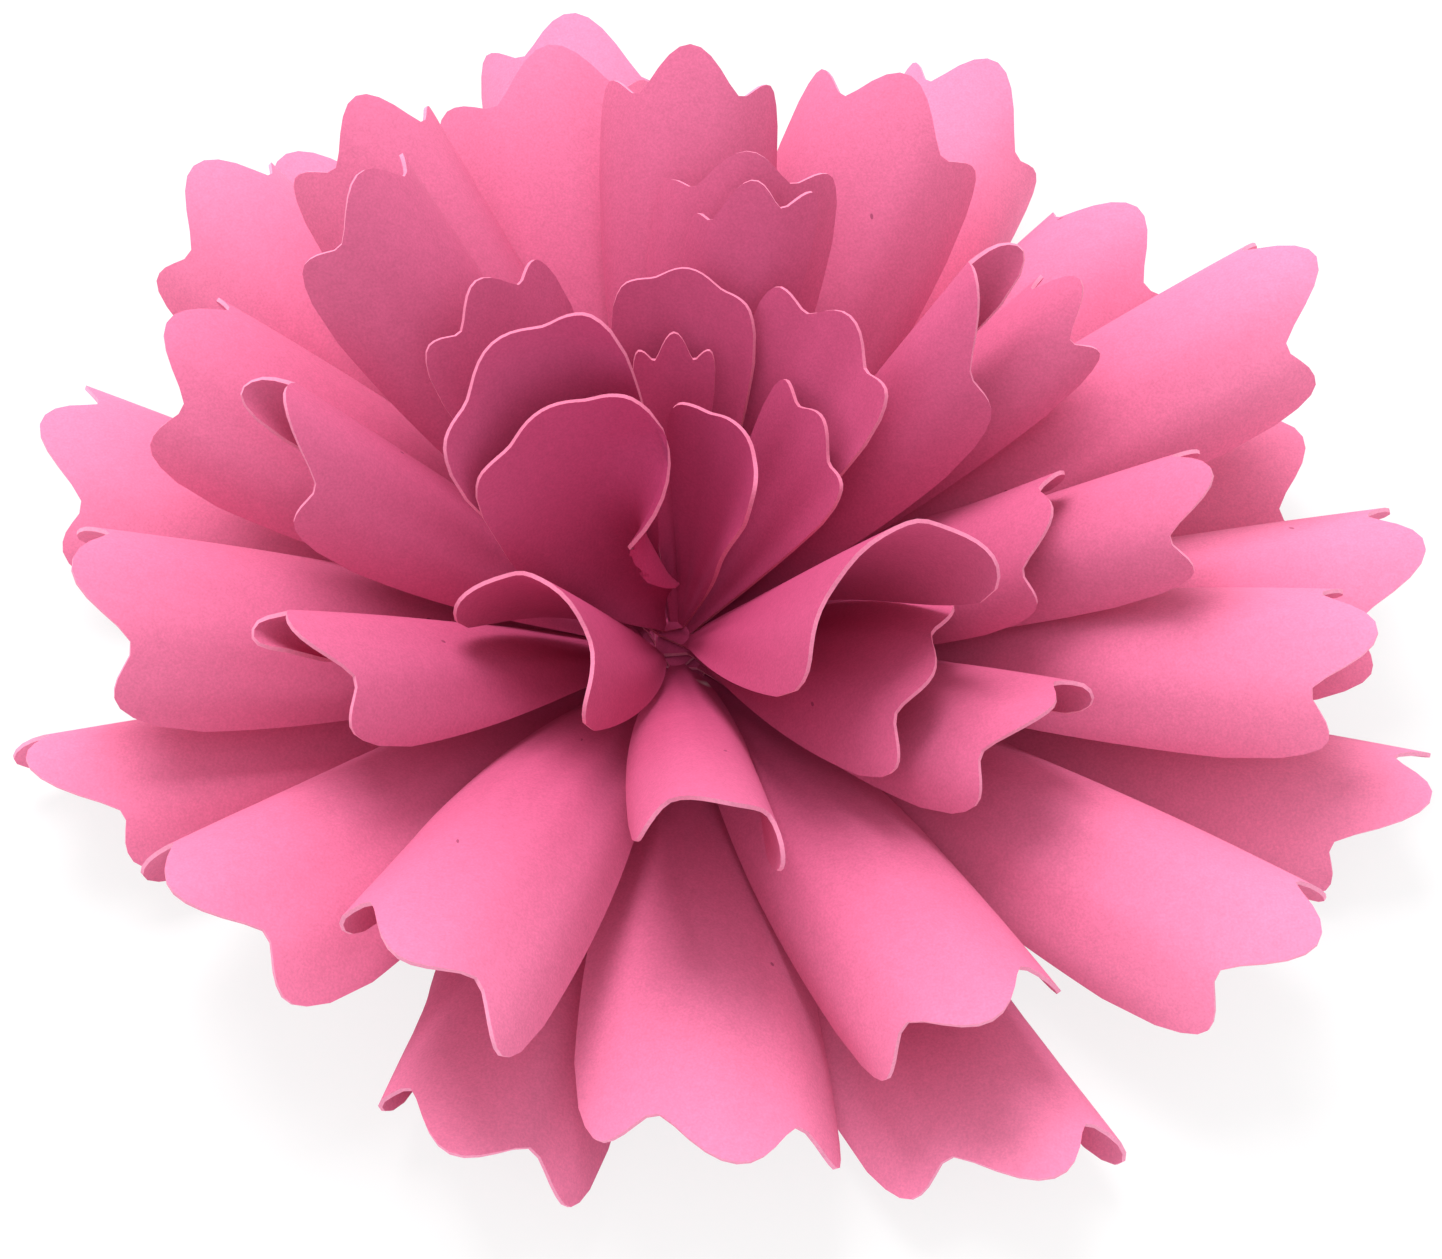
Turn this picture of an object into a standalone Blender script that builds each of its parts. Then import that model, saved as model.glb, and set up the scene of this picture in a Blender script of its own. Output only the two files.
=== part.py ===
"""A layered paper flower: eight die-cut sheets of card, stacked and glued at their hubs.

Metres, +Z up. The origin is the centre of the flat underside of the lowest hub.
A heading is an angle seen from above: 0 points along -Y, towards the viewer, and 90 along +X.
Each sheet is one piece: a round hub and petals with a narrow neck and a three-lobed tip.
The petals are bent up at the neck and curled across their width, as over a pencil.
In a petal, lift is its slope at the neck, droop how much of that slope is lost by the tip, and
roll how far it leans over to its right, seen from the hub. Its left and right halves are curled
by their own angles, down where positive and up into a cup where negative. Slant is how much
shorter its right corner is than its middle, and a hook is a corner's extra curl near the tip.
Angles are in degrees. Reach, width, slant and a sheet's necks and notches are in hundredths of the
named sizes.
"""

import math
from collections import namedtuple

import bmesh
import bpy
from mathutils import Vector

MM = 0.001
PERCENT = 0.01

# The card and the glue between two hubs.
CARD_THICKNESS = 0.4 * MM
GLUE_FILM = 0.4 * MM

# The lowest hub's radius, and how much smaller each next one is.
HUB_RADIUS = 5.2 * MM
HUB_STEP = 0.6 * MM

# The longest petal's reach from the hub's centre, the usual petal's width and the usual neck's.
PETAL_REACH = 76 * MM
PETAL_WIDTH = 30 * MM
NECK_WIDTH = 2.7 * MM

# The petal's tip, as shares of its reach from the hub's centre.
NOTCH_DEPTH = 0.09
SHOULDER_DROP = 0.09
CORNER_DROP = 0.1
# The tip across the petal's width, from 0 at the middle to 1 at the side.
NOTCH_PLACE = 0.43
NOTCH_ROUNDING = 0.3
CORNER_START = 0.78
HOOK_START = 0.6

# How late a petal widens along its length, and the shares of its length where it has leant over
# and where its corners' hooks begin.
SWELL_POWER = 1.1
LEAN_ENDS = 0.3
HOOK_BEGINS = 0.55

# Lines of the mesh across a petal and along it, as shares of half its width and of its length.
HALF_ACROSS = (0.18, NOTCH_PLACE, CORNER_START, 0.93, 1.0)
ACROSS = tuple(-u for u in reversed(HALF_ACROSS)) + HALF_ACROSS
ALONG = (0.15, 0.38, 0.62, 0.84, 1.0)

PINK_CARD = (0.85, 0.25, 0.45, 1.0)

Sheet = namedtuple("Sheet", "name neck notches petals")
Petal = namedtuple(
    "Petal",
    "heading reach width lift droop roll left right slant left_hook right_hook",
    defaults=(0, 0, 0),
)


SHEETS = (
    Sheet("sheet_1_lowest", 88, 100, (
        Petal(29, 91, 100, 10, 0, 0, 55, 85, slant=-5, right_hook=100),
        Petal(73, 98.5, 93, 9, 2, 7, 105, 67, slant=-6),
        Petal(109, 90, 103, 6.8, 0, 0, 52, 52),
        Petal(152, 100, 100, 13, 0, 0, 105, 75, slant=-6),
        Petal(179, 70, 100, 9, 0, 0, 52, 52),
        Petal(216, 94.5, 103, 10, 2, 0, 75, 75),
        Petal(252.5, 89.5, 103, 12.5, 2, -10, 60, 75, slant=6),
        Petal(288, 85, 93, 13, 2, -5, 115, 70, slant=8),
        Petal(341.5, 82.5, 100, 14, 2, 0, 75, 70, slant=-4, left_hook=150),
    )),
    Sheet("sheet_2", 92, 100, (
        Petal(5, 84, 100, 25, 17, 8, 52, 75, slant=-2),
        Petal(54, 95.5, 100, 24, 17, 0, 75, 100, slant=-1.5),
        Petal(91.5, 97.5, 100, 16, 5, 0, 75, 90, slant=-4),
        Petal(132, 88, 100, 25, 16, 0, 75, 95),
        Petal(188.5, 97.5, 100, 21, 14, 0, 65, 75, slant=-7),
        Petal(228, 92, 100, 25, 8, 0, 90, 85, slant=2),
        Petal(277, 81.5, 103, 32, 10, 0, 95, 75, slant=3),
        Petal(311, 82, 110, 26, 7, 0, 118, 45),
    )),
    Sheet("sheet_3", 84, 100, (
        Petal(28, 82, 97, 32, 18, 0, 92, 90),
        Petal(79, 92, 90, 28.8, 16, 2, 80, 85),
        Petal(113, 97.5, 97, 34.1, 18, 0, 85, 100, slant=-2.5),
        Petal(153, 82, 93, 41.2, 12, 0, 90, 60, slant=-4),
        Petal(193, 84, 103, 33.7, 12, 0, 75, 50),
        Petal(248, 79, 97, 39, 18, 0, 90, 75, slant=2),
        Petal(335, 83, 100, 39, 14, 0, 90, 75, slant=-7, left_hook=120),
    )),
    Sheet("sheet_4", 57, 100, (
        Petal(56, 63, 83, 38.5, 8, 10, 85, 58),
        Petal(90, 76.5, 73, 37.9, 8, 0, 95, 95, slant=-2),
        Petal(118, 72.5, 57, 43.2, 8, 0, 82, 90),
        Petal(178, 79, 80, 46, 8, 0, 75, 75),
        Petal(216.5, 83, 83, 39, 8, 0, 85, 75),
        Petal(262, 67, 83, 50, 8, 0, 95, 95),
        Petal(294, 64, 83, 45, 8, -10, 100, 80),
    )),
    Sheet("sheet_5", 54, 80, (
        Petal(7, 64.5, 75, 46, 4, 12, 100, 110, slant=-3),
        Petal(84.5, 59, 66, 40.3, 0, 0, 94, 62),
        Petal(117, 68.5, 77, 56, 4, 0, 85, 90),
        Petal(168, 66, 73, 52, 4, 0, 60, 60, slant=4),
        Petal(230, 76, 77, 52, 4, 0, 80, 70, slant=2),
    )),
    Sheet("sheet_6", 38, 85, (
        Petal(52, 50, 75, 48.3, 16, 0, 62, 12, slant=8),
        Petal(130, 54.5, 70, 61, 0, 0, -30, -12),
        Petal(162, 63, 53, 56, 0, 0, 30, 70, slant=6),
        Petal(227, 58, 60, 57, 0, 0, 20, 20),
        Petal(317, 44, 95, 65.5, 4, 0, 105, 85, slant=-4),
    )),
    Sheet("sheet_7", 50, 50, (
        Petal(57, 55.5, 105, 62.3, 4, 14, 72, 110, slant=-8),
        Petal(110, 44, 53, 63.9, 0, -8, 10, 10),
        Petal(176, 51, 50, 59.5, 0, 0, -40, -10),
        Petal(245, 55.5, 74, 64.5, 0, 32, -24, -40, slant=5),
    )),
    Sheet("sheet_8_bud", 28, 40, (
        Petal(131, 38.5, 60, 76, 0, 0, -60, -40),
        Petal(175, 43, 35, 64, 0, 0, -40, -10),
        Petal(257, 46.5, 56, 73.5, 0, 48, -15, -20),
    )),
)


def ease(x):
    """Goes smoothly from 0 to 1 while x does."""
    x = min(1.0, max(0.0, x))
    return x * x * (3.0 - 2.0 * x)


def arc_step(start, turn, run):
    """How far a line goes forward and sideways while it turns evenly by turn radians over run."""
    half = 0.5 * turn
    chord = run * (math.sin(half) / half if half else 1.0)
    return chord * math.cos(start + half), chord * math.sin(start + half)


def hub_radius(level):
    return HUB_RADIUS - level * HUB_STEP


def sheet_height(level):
    """The height of the middle of a hub's thickness."""
    return CARD_THICKNESS / 2 + level * (CARD_THICKNESS + GLUE_FILM)


def full_length(petal, level):
    """A petal's length from its hub's edge to the end of its middle lobe."""
    return petal.reach * PERCENT * PETAL_REACH - hub_radius(level)


def tip_length(sheet, petal, level, u):
    """The length from the hub's edge to the lobed tip at u, from -1 at the left side to 1 at the right."""
    wave = math.cos(0.5 * math.pi * u / NOTCH_PLACE)
    lobe = math.hypot(wave, NOTCH_ROUNDING) / math.hypot(1.0, NOTCH_ROUNDING)
    corner = max(0.0, abs(u) - CORNER_START) / (1.0 - CORNER_START)
    rounded = 1.0 - math.sqrt(1.0 - corner * corner)
    cut = sheet.notches * PERCENT * NOTCH_DEPTH * (1.0 - lobe)
    cut += SHOULDER_DROP * u * u + CORNER_DROP * rounded + petal.slant * PERCENT * u
    return full_length(petal, level) - cut * petal.reach * PERCENT * PETAL_REACH


def width_share(sheet, petal, along):
    """The flat petal's width at a share of its length, as a share of its full width."""
    neck = sheet.neck * NECK_WIDTH / (petal.width * PETAL_WIDTH)
    swell = math.sin(0.5 * math.pi * min(1.0, max(0.0, along) ** SWELL_POWER))
    return neck + (1.0 - neck) * swell


def cross_section(petal, share, along, u):
    """How far sideways and down the curled card lies at u across a petal."""
    half = 0.5 * share * petal.width * PERCENT * PETAL_WIDTH
    curl = share * math.radians(petal.right if u > 0 else petal.left)
    hook = math.radians(petal.right_hook if u > 0 else petal.left_hook)
    hook *= ease((along - HOOK_BEGINS) / (1.0 - HOOK_BEGINS)) / (1.0 - HOOK_START)
    inner = min(abs(u), HOOK_START)
    outer = abs(u) - inner
    across, down = arc_step(0.0, curl * inner, half * inner)
    further, deeper = arc_step(curl * inner, (curl + hook) * outer, half * outer)
    return math.copysign(across + further, u), down + deeper


def petal_point(sheet, petal, level, u, s):
    """The middle of the card's thickness at u across and s along a bent petal."""
    length = full_length(petal, level)
    run = s * tip_length(sheet, petal, level, u)
    along = run / length
    across, down = cross_section(petal, width_share(sheet, petal, along), along, u)
    roll = math.radians(petal.roll) * ease(along / LEAN_ENDS)
    x = across * math.cos(roll) - down * math.sin(roll)
    z = -across * math.sin(roll) - down * math.cos(roll)
    lift = math.radians(petal.lift)
    bend = -math.radians(petal.droop) * along
    forward, rise = arc_step(lift, bend, run)
    slope = lift + bend
    heading = math.radians(petal.heading)
    ahead = Vector((math.sin(heading), -math.cos(heading), 0.0))
    side = Vector((math.cos(heading), math.sin(heading), 0.0))
    up = Vector((0.0, 0.0, 1.0))
    normal = up * math.cos(slope) - ahead * math.sin(slope)
    root = ahead * hub_radius(level) + up * sheet_height(level)
    return root + ahead * forward + up * rise + side * x + normal * z


def hub_necks(bm, sheet, level):
    """The hub's edge, and for each petal the vertices of its neck in order across."""
    radius = hub_radius(level)
    count = len(sheet.petals) * len(ACROSS)
    ring = bmesh.ops.create_circle(bm, cap_ends=True, radius=radius, segments=count)
    vertices = sorted(ring["verts"], key=lambda v: math.atan2(v.co.x, -v.co.y) % math.tau)
    necks = []
    for index, petal in enumerate(sheet.petals):
        neck = vertices[index * len(ACROSS):(index + 1) * len(ACROSS)]
        for vertex, u in zip(neck, ACROSS):
            angle = math.radians(petal.heading) + u * 0.5 * sheet.neck * PERCENT * NECK_WIDTH / radius
            vertex.co = Vector((math.sin(angle), -math.cos(angle), 0.0)) * radius
            vertex.co.z = sheet_height(level)
        necks.append(neck)
    return necks


def grow_petal(bm, sheet, petal, level, neck):
    """Extrudes the neck's edges outwards row by row, and sets each row where the bent card lies."""
    row = list(neck)
    for s in ALONG:
        edges = [bm.edges.get(pair) for pair in zip(row, row[1:])]
        column = {vertex: index for index, vertex in enumerate(row)}
        made = bmesh.ops.extrude_edge_only(bm, edges=edges)["geom"]
        fresh = [None] * len(row)
        for vertex in (item for item in made if isinstance(item, bmesh.types.BMVert)):
            old = next(e.other_vert(vertex) for e in vertex.link_edges if e.other_vert(vertex) in column)
            fresh[column[old]] = vertex
        for vertex, u in zip(fresh, ACROSS):
            vertex.co = petal_point(sheet, petal, level, u, s)
        row = fresh


def card_material(sheet):
    """The matt pink card that a sheet is cut from."""
    material = bpy.data.materials.new(sheet.name + "_card")
    material.use_nodes = True
    shader = material.node_tree.nodes["Principled BSDF"]
    shader.inputs["Base Color"].default_value = PINK_CARD
    shader.inputs["Roughness"].default_value = 0.8
    return material


def make_sheet(sheet, level):
    """One cut sheet: the hub, its petals, and the card's thickness."""
    bm = bmesh.new()
    for petal, neck in zip(sheet.petals, hub_necks(bm, sheet, level)):
        grow_petal(bm, sheet, petal, level, neck)
    bmesh.ops.recalc_face_normals(bm, faces=bm.faces)
    mesh = bpy.data.meshes.new(sheet.name)
    bm.to_mesh(mesh)
    bm.free()
    mesh.materials.append(card_material(sheet))
    item = bpy.data.objects.new(sheet.name, mesh)
    bpy.context.scene.collection.objects.link(item)
    card = item.modifiers.new("card", "SOLIDIFY")
    card.thickness = CARD_THICKNESS
    card.offset = 0.0
    card.use_even_offset = True
    return item


def main():
    for item in list(bpy.data.objects):
        bpy.data.objects.remove(item)
    for level, sheet in enumerate(SHEETS):
        make_sheet(sheet, level)


main()
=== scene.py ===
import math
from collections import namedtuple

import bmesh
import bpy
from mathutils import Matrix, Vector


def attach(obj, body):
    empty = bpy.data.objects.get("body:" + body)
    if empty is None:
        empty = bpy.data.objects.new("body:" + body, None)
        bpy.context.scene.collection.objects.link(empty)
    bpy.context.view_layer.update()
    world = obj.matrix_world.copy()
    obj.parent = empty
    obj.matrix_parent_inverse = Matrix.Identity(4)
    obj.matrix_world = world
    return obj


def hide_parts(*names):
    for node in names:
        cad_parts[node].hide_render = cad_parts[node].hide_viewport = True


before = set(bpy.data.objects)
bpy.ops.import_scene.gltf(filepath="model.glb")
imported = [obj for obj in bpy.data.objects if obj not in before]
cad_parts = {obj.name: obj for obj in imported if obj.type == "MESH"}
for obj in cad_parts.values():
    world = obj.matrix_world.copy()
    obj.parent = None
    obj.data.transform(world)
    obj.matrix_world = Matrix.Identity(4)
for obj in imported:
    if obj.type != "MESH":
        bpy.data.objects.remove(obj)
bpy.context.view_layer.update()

# The layered paper flower as it looks: the same eight cut sheets as the frame's, with finer curls,
# crisp pale cut edges and the pink card's grain, on a white table under soft light.
#
# A heading is an angle seen from above: 0 points along -Y, towards the viewer, and 90 along +X.
# In a petal, lift is its slope at the neck, droop how much of that slope is lost by the tip, and
# roll how far it leans over to its right, seen from the hub. Its left and right halves are curled
# by their own angles, down where positive and up into a cup where negative. Slant is how much
# shorter its right corner is than its middle, and a hook is a corner's extra curl near the tip.
# A tube is a half's extra curl in the lower part of the petal. Fullness is how soon the petal is at
# its full width, and notched how deep its notches are next to its sheet's.
# Angles are in degrees. Reach, width, slant, fullness, notched and a sheet's necks and notches are
# in hundredths of the named sizes.

MM = 0.001
PERCENT = 0.01

# The card and the glue between two hubs.
CARD_THICKNESS = 0.4 * MM
GLUE_FILM = 0.4 * MM

# The lowest hub's radius, and how much smaller each next one is.
HUB_RADIUS = 5.2 * MM
HUB_STEP = 0.6 * MM

# The longest petal's reach from the hub's centre, the usual petal's width and the usual neck's.
PETAL_REACH = 76 * MM
PETAL_WIDTH = 30 * MM
NECK_WIDTH = 2.7 * MM

# The petal's tip, as shares of its reach from the hub's centre.
NOTCH_DEPTH = 0.09
SHOULDER_DROP = 0.09
CORNER_DROP = 0.1
# The tip across the petal's width, from 0 at the middle to 1 at the side.
NOTCH_PLACE = 0.43
NOTCH_ROUNDING = 0.3
CORNER_START = 0.78
HOOK_START = 0.6

# How late a petal widens along its length, and the shares of its length where it has leant over
# and where its corners' hooks begin.
SWELL_POWER = 1.1
LEAN_ENDS = 0.3
HOOK_BEGINS = 0.55
# A tubular petal starts to open at this share of its length, over this much of it.
TUBE_CLOSES = 0.2
TUBE_OPENS = 0.45
TUBE_FADES = 0.35

# The faint lengthwise bands that pulling the card over a blade leaves: their depth and spacing.
PULL_DEPTH = 0.1 * MM
PULL_SPACING = 7.5 * MM

# The fine mesh of a petal: quads from its middle to its side, and from its neck to its tip, and how
# much closer together they lie at its sides than at its middle.
COLUMNS = 14
ROWS = 30
CROWDING = 0.35
# Corners sharper than this stay crisp, so the card's cut edge is one.
CREASE = math.radians(35)

# The card's pink at its palest and its darker painted shade over the heart, on its faces and on its cut
# edges, and how little it shines.
FACE_PALE = (0.84, 0.225, 0.39, 1.0)
FACE_PAINTED_SHADE = (0.47, 0.048, 0.152, 1.0)
EDGE_PALE = (0.86, 0.32, 0.48, 1.0)
EDGE_PAINTED_SHADE = (0.66, 0.16, 0.28, 1.0)
CARD_GLOSS = 0.13
# How far from the flower's middle the painted shade lasts, and how late it fades out.
PAINTED_SHADE_RADIUS = 65 * MM
PAINTED_SHADE_FADE_POWER = 1.4

# The card's fine grain and its faint mottle: how fine each is, and how far each changes the colour.
GRAIN_FINENESS = 4200.0
GRAIN_SPREAD = 0.08
MOTTLE_FINENESS = 900.0
MOTTLE_SPREAD = 0.03
NOISE_DETAIL = 2.0
NOISE_ROUGHNESS = 0.6
# Where a noise counts as its lowest and its highest.
NOISE_LOW = 0.3
NOISE_HIGH = 0.7
GRAIN_RELIEF = 0.05 * MM

# The dark specks in the card: the places for one, the share of them left clean, and how dark one is.
SPECK_SPACING = 26 * MM
SPECK_RADIUS = 0.22 * MM
SPECKS_LEFT_OUT = 0.55
SPECK_DARKNESS = 0.6
SPECK_COLOUR = (0.16, 0.02, 0.06, 1.0)

# The smear of dried glue where the front petals meet.
SMEAR_PLACE = (3.0 * MM, -7.3 * MM, 7.8 * MM)
SMEAR_RADIUS = 0.7 * MM
SMEAR_THICKNESS = 0.7
GLUE_COLOUR = (0.80, 0.55, 0.62, 1.0)

# The table: half its side in metres, how far it lies under the flower, its grey and its roughness.
TABLE_HALF = 3.0
TABLE_GAP = 0.05 * MM
TABLE_GREY = (0.9, 0.9, 0.9, 1.0)
TABLE_ROUGHNESS = 0.9
# How much of the table is plain white to the camera, so that the flower's shadow on it stays light.
WHITENESS = 0.8

# The soft box behind the flower: its place, what it shines at, its side and its power, and the sky.
BOX_PLACE = (-0.14, 0.38, 0.69)
BOX_TARGET = (0.0, 0.0, 0.02)
BOX_SIDE = 0.4
BOX_POWER = 6.0
SKY_COLOUR = (1.0, 1.0, 1.0, 1.0)
SKY_STRENGTH = 0.95

# The photograph's view: how high above the table, how far from the target, and the lens.
VIEW_ELEVATION = math.radians(58)
VIEW_DISTANCE = 0.3
VIEW_TARGET = (0.0, 0.0, 0.004)
SENSOR_WIDTH = 36.0
LENS_LENGTH = 75.4
SHIFT_ACROSS = 0.0326
SHIFT_UP = 0.0073
NEAREST_SEEN = 0.01

Sheet = namedtuple("Sheet", "name neck notches petals")
Petal = namedtuple(
    "Petal",
    "heading reach width lift droop roll left right"
    " slant left_hook right_hook fullness left_tube right_tube notched",
    defaults=(0, 0, 0, 100, 0, 0, 100),
)

SHEETS = (
    Sheet("sheet_1_lowest", 88, 100, (
        Petal(29, 91, 100, 10, 0, 0, 55, 85, slant=-5, right_hook=100),
        Petal(73, 98.5, 93, 9, 2, 7, 105, 67, slant=-6),
        Petal(109, 90, 103, 6.8, 0, 0, 52, 52),
        Petal(152, 100, 100, 13, 0, 0, 105, 75, slant=-6),
        Petal(182, 70, 100, 9, 0, 0, 52, 52),
        Petal(216, 94.5, 103, 10, 2, 0, 75, 75),
        Petal(252.5, 89.5, 103, 12.5, 2, -10, 60, 75, slant=6),
        Petal(288, 85, 93, 13, 2, -5, 115, 70, slant=8),
        Petal(341.5, 82.5, 100, 14, 2, 0, 75, 70, slant=-4, left_hook=150),
    )),
    Sheet("sheet_2", 92, 100, (
        Petal(5, 84, 100, 25, 17, 8, 52, 75, slant=-2),
        Petal(54, 95.5, 100, 24, 17, 0, 75, 100, slant=-1.5),
        Petal(91.5, 97.5, 100, 16, 5, 0, 75, 90, slant=-4),
        Petal(132, 88, 100, 25, 16, 0, 75, 95),
        Petal(188.5, 97.5, 100, 21, 14, 0, 65, 75, slant=-7),
        Petal(228, 92, 100, 25, 8, 0, 90, 85, slant=2),
        Petal(277, 81.5, 103, 32, 10, 0, 95, 75, slant=3),
        Petal(311, 82, 110, 26, 7, 0, 118, 45),
    )),
    Sheet("sheet_3", 84, 100, (
        Petal(28, 82, 97, 32, 18, 0, 92, 90),
        Petal(79, 92, 90, 28.8, 16, 2, 80, 85),
        Petal(113, 97.5, 97, 34.1, 18, 0, 85, 100, slant=-2.5),
        Petal(153, 82, 93, 41.2, 12, 0, 90, 60, slant=-4),
        Petal(193, 84, 103, 33.7, 12, 0, 75, 50),
        Petal(248, 79, 97, 39, 18, 0, 90, 75, slant=2),
        Petal(335, 83, 100, 39, 14, 0, 90, 75, slant=-7, left_hook=120),
    )),
    Sheet("sheet_4", 57, 100, (
        Petal(56, 63, 83, 38.5, 8, 10, 85, 62, slant=-3, right_hook=120),
        Petal(90, 76.5, 73, 37.1, 8, 0, 95, 95, slant=-2),
        Petal(118, 72.5, 57, 43.2, 8, 0, 82, 90),
        Petal(178, 79, 80, 46, 8, 0, 75, 75),
        Petal(216.5, 83, 83, 39, 8, 0, 85, 75),
        Petal(262, 66.5, 83, 50.5, 8, 0, 140, 95, slant=10, left_hook=60),
        Petal(296, 64, 83, 45, 8, -10, 105, 80, slant=4, left_hook=160),
    )),
    Sheet("sheet_5", 54, 80, (
        Petal(7, 64.5, 75, 46, 4, 12, 100, 110, slant=-3),
        Petal(84.5, 59, 66, 40.8, 0, 0, 94, 50, slant=-5, right_hook=75),
        Petal(117, 67, 77, 56, 4, 0, 85, 150, slant=-14, right_hook=40),
        Petal(168, 66, 73, 52, 4, 0, 60, 60, slant=4),
        Petal(230, 76, 77, 52, 4, 0, 80, 70, slant=2),
    )),
    Sheet("sheet_6", 38, 85, (
        Petal(52, 50, 75, 48.3, 16, 0, 62, 12, slant=8),
        Petal(130, 54.5, 75, 61, 0, 0, -30, -12, fullness=75),
        Petal(165, 63, 57, 56, 0, 0, 60, 70, slant=6, fullness=75),
        Petal(227, 58, 60, 57, 0, 0, 20, 20),
        Petal(317, 44, 95, 65.5, 4, 0, 105, 85, slant=-4),
    )),
    Sheet("sheet_7", 50, 50, (
        Petal(57, 55.5, 105, 62.3, 4, 14, 72, 110, slant=-8),
        Petal(113, 43, 56, 64.5, 0, -8, -10, 10, slant=-3, fullness=75, notched=150),
        Petal(176, 51, 50, 59.5, 0, 0, -40, -10, slant=-2, notched=60),
        Petal(245, 55.5, 76, 66, 0, 30, -62, -34, slant=5),
    )),
    Sheet("sheet_8_bud", 28, 40, (
        Petal(130, 38.5, 66, 76, 0, 0, -75, -40, fullness=65, left_tube=-50),
        Petal(180, 43, 38, 63.5, 0, 0, 0, -10, fullness=60, notched=280),
        Petal(257, 47, 64, 71, 0, 46, -50, -5, fullness=160, left_tube=-175),
    )),
)


def ease(x):
    """Goes smoothly from 0 to 1 while x does."""
    x = min(1.0, max(0.0, x))
    return x * x * (3.0 - 2.0 * x)


def arc_step(start, turn, run):
    """How far a line goes forward and sideways while it turns evenly by turn radians over run."""
    half = 0.5 * turn
    chord = run * (math.sin(half) / half if half else 1.0)
    return chord * math.cos(start + half), chord * math.sin(start + half)


def hub_radius(level):
    return HUB_RADIUS - level * HUB_STEP


def sheet_height(level):
    """The height of the middle of a hub's thickness."""
    return CARD_THICKNESS / 2 + level * (CARD_THICKNESS + GLUE_FILM)


def full_length(petal, level):
    """A petal's length from its hub's edge to the end of its middle lobe."""
    return petal.reach * PERCENT * PETAL_REACH - hub_radius(level)


def tip_length(sheet, petal, level, u):
    """The length from the hub's edge to the lobed tip at u, from -1 at the left side to 1 at the right."""
    wave = math.cos(0.5 * math.pi * u / NOTCH_PLACE)
    lobe = math.hypot(wave, NOTCH_ROUNDING) / math.hypot(1.0, NOTCH_ROUNDING)
    corner = max(0.0, abs(u) - CORNER_START) / (1.0 - CORNER_START)
    rounded = 1.0 - math.sqrt(1.0 - corner * corner)
    cut = sheet.notches * PERCENT * petal.notched * PERCENT * NOTCH_DEPTH * (1.0 - lobe)
    cut += SHOULDER_DROP * u * u + CORNER_DROP * rounded + petal.slant * PERCENT * u
    return full_length(petal, level) - cut * petal.reach * PERCENT * PETAL_REACH


def width_share(sheet, petal, along):
    """The flat petal's width at a share of its length, as a share of its full width."""
    neck = sheet.neck * NECK_WIDTH / (petal.width * PETAL_WIDTH)
    filled = max(0.0, along * petal.fullness * PERCENT)
    swell = math.sin(0.5 * math.pi * min(1.0, filled ** SWELL_POWER))
    return neck + (1.0 - neck) * swell


def cross_section(petal, share, along, u):
    """How far sideways and down the curled card lies at u across a petal."""
    half = 0.5 * share * petal.width * PERCENT * PETAL_WIDTH
    tube = (petal.right_tube if u > 0 else petal.left_tube) * ease(along / TUBE_CLOSES)
    tube *= 1.0 - ease((along - TUBE_OPENS) / TUBE_FADES)
    curl = share * math.radians((petal.right if u > 0 else petal.left) + tube)
    hook = math.radians(petal.right_hook if u > 0 else petal.left_hook)
    hook *= ease((along - HOOK_BEGINS) / (1.0 - HOOK_BEGINS)) / (1.0 - HOOK_START)
    inner = min(abs(u), HOOK_START)
    outer = abs(u) - inner
    across, down = arc_step(0.0, curl * inner, half * inner)
    further, deeper = arc_step(curl * inner, (curl + hook) * outer, half * outer)
    return math.copysign(across + further, u), down + deeper


def petal_point(sheet, petal, level, u, s):
    """The middle of the card's thickness at u across and s along a bent petal."""
    length = full_length(petal, level)
    run = s * tip_length(sheet, petal, level, u)
    along = run / length
    across, down = cross_section(petal, width_share(sheet, petal, along), along, u)
    pulled = 0.5 * u * petal.width * PERCENT * PETAL_WIDTH / PULL_SPACING
    down += PULL_DEPTH * ease(along / LEAN_ENDS) * math.sin(math.tau * pulled + petal.heading)
    roll = math.radians(petal.roll) * ease(along / LEAN_ENDS)
    x = across * math.cos(roll) - down * math.sin(roll)
    z = -across * math.sin(roll) - down * math.cos(roll)
    lift = math.radians(petal.lift)
    bend = -math.radians(petal.droop) * along
    forward, rise = arc_step(lift, bend, run)
    slope = lift + bend
    heading = math.radians(petal.heading)
    ahead = Vector((math.sin(heading), -math.cos(heading), 0.0))
    side = Vector((math.cos(heading), math.sin(heading), 0.0))
    up = Vector((0.0, 0.0, 1.0))
    normal = up * math.cos(slope) - ahead * math.sin(slope)
    root = ahead * hub_radius(level) + up * sheet_height(level)
    return root + ahead * forward + up * rise + side * x + normal * z


def across_lines():
    """The columns of a petal's mesh, from -1 to 1, closer together towards its rounded corners."""
    steps = [index / COLUMNS for index in range(-COLUMNS, COLUMNS + 1)]
    return [math.sin(0.5 * math.pi * step) * CROWDING + step * (1.0 - CROWDING) for step in steps]


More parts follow.
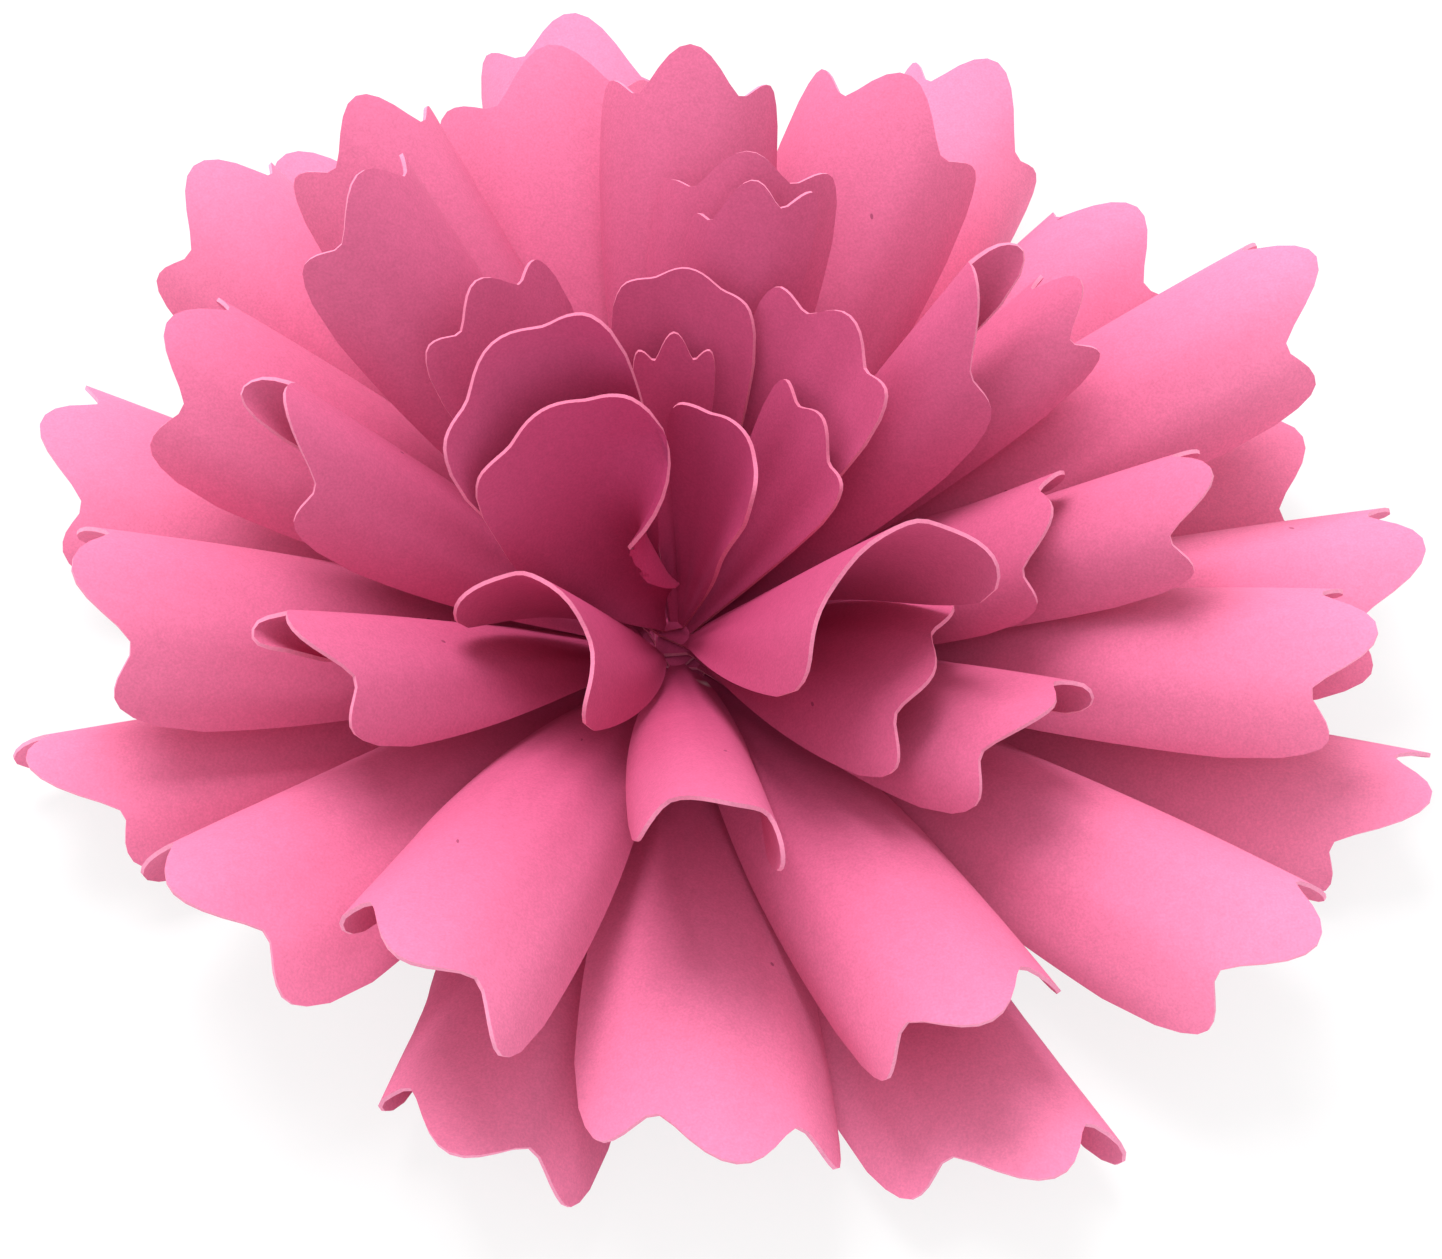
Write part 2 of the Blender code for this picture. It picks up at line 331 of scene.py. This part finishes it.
def hub_necks(bm, sheet, level, lines):
    """The hub's edge, and for each petal the vertices of its neck in order across."""
    radius = hub_radius(level)
    count = len(sheet.petals) * len(lines)
    ring = bmesh.ops.create_circle(bm, cap_ends=True, radius=radius, segments=count)
    vertices = sorted(ring["verts"], key=lambda v: math.atan2(v.co.x, -v.co.y) % math.tau)
    necks = []
    for index, petal in enumerate(sheet.petals):
        neck = vertices[index * len(lines):(index + 1) * len(lines)]
        for vertex, u in zip(neck, lines):
            angle = math.radians(petal.heading) + u * 0.5 * sheet.neck * PERCENT * NECK_WIDTH / radius
            vertex.co = Vector((math.sin(angle), -math.cos(angle), 0.0)) * radius
            vertex.co.z = sheet_height(level)
        necks.append(neck)
    return necks


def grow_petal(bm, sheet, petal, level, neck, lines, flat):
    """Extrudes the neck's edges row by row to where the bent card lies, and notes each point's flat place."""
    row = list(neck)
    half = 0.5 * petal.width * PERCENT * PETAL_WIDTH
    for step in range(1, ROWS + 1):
        s = step / ROWS
        edges = [bm.edges.get(pair) for pair in zip(row, row[1:])]
        column = {vertex: index for index, vertex in enumerate(row)}
        made = bmesh.ops.extrude_edge_only(bm, edges=edges)["geom"]
        fresh = [None] * len(row)
        for vertex in (item for item in made if isinstance(item, bmesh.types.BMVert)):
            old = next(e.other_vert(vertex) for e in vertex.link_edges if e.other_vert(vertex) in column)
            fresh[column[old]] = vertex
        for vertex, u in zip(fresh, lines):
            vertex.co = petal_point(sheet, petal, level, u, s)
            vertex[flat] = Vector((u * half, s * full_length(petal, level), math.radians(petal.heading)))
        row = fresh


def node(tree, kind, **settings):
    """A shader node of that kind. Settings that name one of its inputs set the input's value."""
    made = tree.nodes.new(kind)
    for name, value in settings.items():
        socket = made.inputs.get(name.replace("_", " ").title())
        if socket is not None and not hasattr(made, name):
            socket.default_value = value
        else:
            setattr(made, name, value)
    return made


def gentle_noise(tree, place, fineness, spread):
    """A noise's own value, and a factor that wanders around 1 by up to spread."""
    noise = node(
        tree, "ShaderNodeTexNoise", scale=fineness, detail=NOISE_DETAIL, roughness=NOISE_ROUGHNESS
    )
    tree.links.new(place, noise.inputs["Vector"])
    factor = node(tree, "ShaderNodeMapRange")
    factor.inputs["From Min"].default_value = NOISE_LOW
    factor.inputs["From Max"].default_value = NOISE_HIGH
    factor.inputs["To Min"].default_value = 1.0 - spread
    factor.inputs["To Max"].default_value = 1.0 + spread
    tree.links.new(noise.outputs["Fac"], factor.inputs["Value"])
    return noise.outputs["Fac"], factor.outputs["Result"]


def arithmetic(tree, operation, first, second):
    """One sum on two values, each a number or another node's output."""
    step = node(tree, "ShaderNodeMath", operation=operation)
    for socket, value in zip(step.inputs, (first, second)):
        if isinstance(value, bpy.types.NodeSocket):
            tree.links.new(value, socket)
        else:
            socket.default_value = value
    return step.outputs[0]


def blend(tree, share, first, second):
    """A colour between first and second, each a colour or another node's output."""
    mix = node(tree, "ShaderNodeMix", data_type="RGBA")
    tree.links.new(share, mix.inputs["Factor"])
    # Of this node's sockets, inputs 6 and 7 and output 2 are the ones for colours.
    for socket, value in ((mix.inputs[6], first), (mix.inputs[7], second)):
        if isinstance(value, bpy.types.NodeSocket):
            tree.links.new(value, socket)
        else:
            socket.default_value = value
    return mix.outputs[2]


def painted_shade_fade(tree, place):
    """How far the painted shade has faded, from 0 over the flower's middle, where it is full, to 1 at its
    radius and beyond.
    """
    flat = node(tree, "ShaderNodeVectorMath", operation="MULTIPLY")
    flat.inputs[1].default_value = (1.0, 1.0, 0.0)
    tree.links.new(place, flat.inputs[0])
    radius = node(tree, "ShaderNodeVectorMath", operation="LENGTH")
    tree.links.new(flat.outputs["Vector"], radius.inputs[0])
    share = arithmetic(tree, "DIVIDE", radius.outputs["Value"], PAINTED_SHADE_RADIUS)
    return arithmetic(tree, "POWER", arithmetic(tree, "MINIMUM", share, 1.0), PAINTED_SHADE_FADE_POWER)


def specks(tree):
    """The few dark specks in the card: how dark one is where it lies, and 0 elsewhere."""
    sheet_place = node(tree, "ShaderNodeAttribute", attribute_name="flat_place").outputs["Vector"]
    parts = node(tree, "ShaderNodeSeparateXYZ")
    tree.links.new(sheet_place, parts.inputs[0])
    apart = arithmetic(tree, "ADD", parts.outputs["X"], parts.outputs["Z"])
    spot = node(tree, "ShaderNodeCombineXYZ")
    tree.links.new(apart, spot.inputs["X"])
    tree.links.new(parts.outputs["Y"], spot.inputs["Y"])
    cells = node(tree, "ShaderNodeTexVoronoi", voronoi_dimensions="2D", scale=1.0 / SPECK_SPACING)
    tree.links.new(spot.outputs["Vector"], cells.inputs["Vector"])
    near = arithmetic(tree, "LESS_THAN", cells.outputs["Distance"], SPECK_RADIUS / SPECK_SPACING)
    tint = node(tree, "ShaderNodeSeparateXYZ")
    tree.links.new(cells.outputs["Color"], tint.inputs[0])
    chosen = arithmetic(tree, "GREATER_THAN", tint.outputs["X"], SPECKS_LEFT_OUT)
    return arithmetic(tree, "MULTIPLY", arithmetic(tree, "MULTIPLY", near, chosen), SPECK_DARKNESS)


def glue_smear(tree, place, clouds):
    """The small pale smear of dried glue by the front of the heart: 1 in its middle."""
    apart = node(tree, "ShaderNodeVectorMath", operation="DISTANCE")
    apart.inputs[1].default_value = SMEAR_PLACE
    tree.links.new(place, apart.inputs[0])
    ragged = arithmetic(tree, "MULTIPLY", clouds, SMEAR_RADIUS)
    inside = arithmetic(tree, "SUBTRACT", SMEAR_RADIUS, apart.outputs["Value"])
    share = arithmetic(tree, "DIVIDE", arithmetic(tree, "ADD", inside, ragged), SMEAR_RADIUS)
    step = node(tree, "ShaderNodeMath", operation="MULTIPLY", use_clamp=True)
    step.inputs[1].default_value = SMEAR_THICKNESS
    tree.links.new(share, step.inputs[0])
    return step.outputs[0]


def pink_card(name, pale, painted_shade, roughness, bump):
    """Matt pink craft card with a fine grain, and painted shade that darkens it towards the middle of the
    flower.
    """
    material = bpy.data.materials.new(name)
    material.use_nodes = True
    tree = material.node_tree
    shader = tree.nodes["Principled BSDF"]
    shader.inputs["Roughness"].default_value = roughness
    shader.inputs["Specular IOR Level"].default_value = CARD_GLOSS
    place = node(tree, "ShaderNodeTexCoord").outputs["Object"]
    grain, flecks = gentle_noise(tree, place, GRAIN_FINENESS, GRAIN_SPREAD)
    clouds, mottle = gentle_noise(tree, place, MOTTLE_FINENESS, MOTTLE_SPREAD)
    tone = arithmetic(tree, "MULTIPLY", flecks, mottle)
    shade = node(tree, "ShaderNodeVectorMath", operation="SCALE")
    # Painted shade: the card's pink is darkened towards the flower's middle, where the inner petals shade one
    # another.
    tree.links.new(blend(tree, painted_shade_fade(tree, place), painted_shade, pale), shade.inputs[0])
    tree.links.new(tone, shade.inputs["Scale"])
    colour = blend(tree, specks(tree), shade.outputs["Vector"], SPECK_COLOUR)
    colour = blend(tree, glue_smear(tree, place, clouds), colour, GLUE_COLOUR)
    tree.links.new(colour, shader.inputs["Base Color"])
    relief = node(tree, "ShaderNodeBump")
    relief.inputs["Strength"].default_value = bump
    relief.inputs["Distance"].default_value = GRAIN_RELIEF
    tree.links.new(grain, relief.inputs["Height"])
    tree.links.new(relief.outputs["Normal"], shader.inputs["Normal"])
    return material


def make_sheet(sheet, level, faces_card, edge_card):
    """One cut sheet: the hub, its petals, the card's thickness and its paler cut edge."""
    bm = bmesh.new()
    flat = bm.verts.layers.float_vector.new("flat_place")
    lines = across_lines()
    for petal, neck in zip(sheet.petals, hub_necks(bm, sheet, level, lines)):
        grow_petal(bm, sheet, petal, level, neck, lines, flat)
    bmesh.ops.recalc_face_normals(bm, faces=bm.faces)
    mesh = bpy.data.meshes.new(sheet.name + "_flat")
    bm.to_mesh(mesh)
    bm.free()
    mesh.materials.append(faces_card)
    mesh.materials.append(edge_card)
    drawn = bpy.data.objects.new(sheet.name + "_flat", mesh)
    bpy.context.scene.collection.objects.link(drawn)
    card = drawn.modifiers.new("card", "SOLIDIFY")
    card.thickness = CARD_THICKNESS
    card.offset = 0.0
    card.material_offset_rim = 1
    seen = drawn.evaluated_get(bpy.context.evaluated_depsgraph_get())
    solid = bpy.data.meshes.new_from_object(seen)
    solid.name = sheet.name + "_paper"
    for face in solid.polygons:
        face.use_smooth = True
    solid.set_sharp_from_angle(angle=CREASE)
    bpy.data.objects.remove(drawn)
    piece = bpy.data.objects.new(sheet.name + "_paper", solid)
    bpy.context.scene.collection.objects.link(piece)
    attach(piece, "root")
    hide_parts(sheet.name)


def white_table():
    """A large white table top with the flower's shadow on it."""
    bm = bmesh.new()
    bmesh.ops.create_grid(bm, x_segments=1, y_segments=1, size=TABLE_HALF)
    mesh = bpy.data.meshes.new("white_table")
    bm.to_mesh(mesh)
    bm.free()
    material = bpy.data.materials.new("white_table")
    material.use_nodes = True
    tree = material.node_tree
    shader = tree.nodes["Principled BSDF"]
    shader.inputs["Base Color"].default_value = TABLE_GREY
    shader.inputs["Roughness"].default_value = TABLE_ROUGHNESS
    glow = node(tree, "ShaderNodeEmission", strength=1.0)
    rays = node(tree, "ShaderNodeLightPath")
    share = node(tree, "ShaderNodeMath", operation="MULTIPLY")
    share.inputs[1].default_value = WHITENESS
    mix = node(tree, "ShaderNodeMixShader")
    tree.links.new(rays.outputs["Is Camera Ray"], share.inputs[0])
    tree.links.new(share.outputs[0], mix.inputs[0])
    tree.links.new(shader.outputs[0], mix.inputs[1])
    tree.links.new(glow.outputs[0], mix.inputs[2])
    tree.links.new(mix.outputs[0], tree.nodes["Material Output"].inputs["Surface"])
    mesh.materials.append(material)
    table = bpy.data.objects.new("white_table", mesh)
    table.location.z = -TABLE_GAP
    bpy.context.scene.collection.objects.link(table)


def light_the_table():
    """A square soft box behind the flower, slightly to its left, and an even white sky."""
    light = bpy.data.lights.new("back_box", "AREA")
    light.shape = "SQUARE"
    light.size = BOX_SIDE
    light.energy = BOX_POWER
    lamp = bpy.data.objects.new("back_box", light)
    lamp.location = BOX_PLACE
    aim = Vector(BOX_TARGET) - Vector(BOX_PLACE)
    lamp.rotation_euler = aim.to_track_quat("-Z", "Y").to_euler()
    bpy.context.scene.collection.objects.link(lamp)
    world = bpy.context.scene.world or bpy.data.worlds.new("studio")
    bpy.context.scene.world = world
    world.use_nodes = True
    sky = world.node_tree.nodes["Background"]
    sky.inputs["Color"].default_value = SKY_COLOUR
    sky.inputs["Strength"].default_value = SKY_STRENGTH


def place_camera():
    """The photograph's view, from the front and above."""
    data = bpy.data.cameras.new("photo_camera")
    data.sensor_width = SENSOR_WIDTH
    data.lens = LENS_LENGTH
    data.shift_x = SHIFT_ACROSS
    data.shift_y = SHIFT_UP
    data.clip_start = NEAREST_SEEN
    camera = bpy.data.objects.new("photo_camera", data)
    back = Vector((0.0, -math.cos(VIEW_ELEVATION), math.sin(VIEW_ELEVATION)))
    camera.location = Vector(VIEW_TARGET) + back * VIEW_DISTANCE
    camera.rotation_euler = (math.radians(90) - VIEW_ELEVATION, 0.0, 0.0)
    bpy.context.scene.collection.objects.link(camera)
    bpy.context.scene.camera = camera


def main():
    faces_card = pink_card("pink_card", FACE_PALE, FACE_PAINTED_SHADE, roughness=0.75, bump=0.35)
    edge_card = pink_card("cut_edge", EDGE_PALE, EDGE_PAINTED_SHADE, roughness=0.85, bump=0.2)
    for level, sheet in enumerate(SHEETS):
        make_sheet(sheet, level, faces_card, edge_card)
    white_table()
    light_the_table()
    place_camera()
    bpy.context.scene.view_settings.view_transform = "Standard"


main()

bpy.context.view_layer.update()
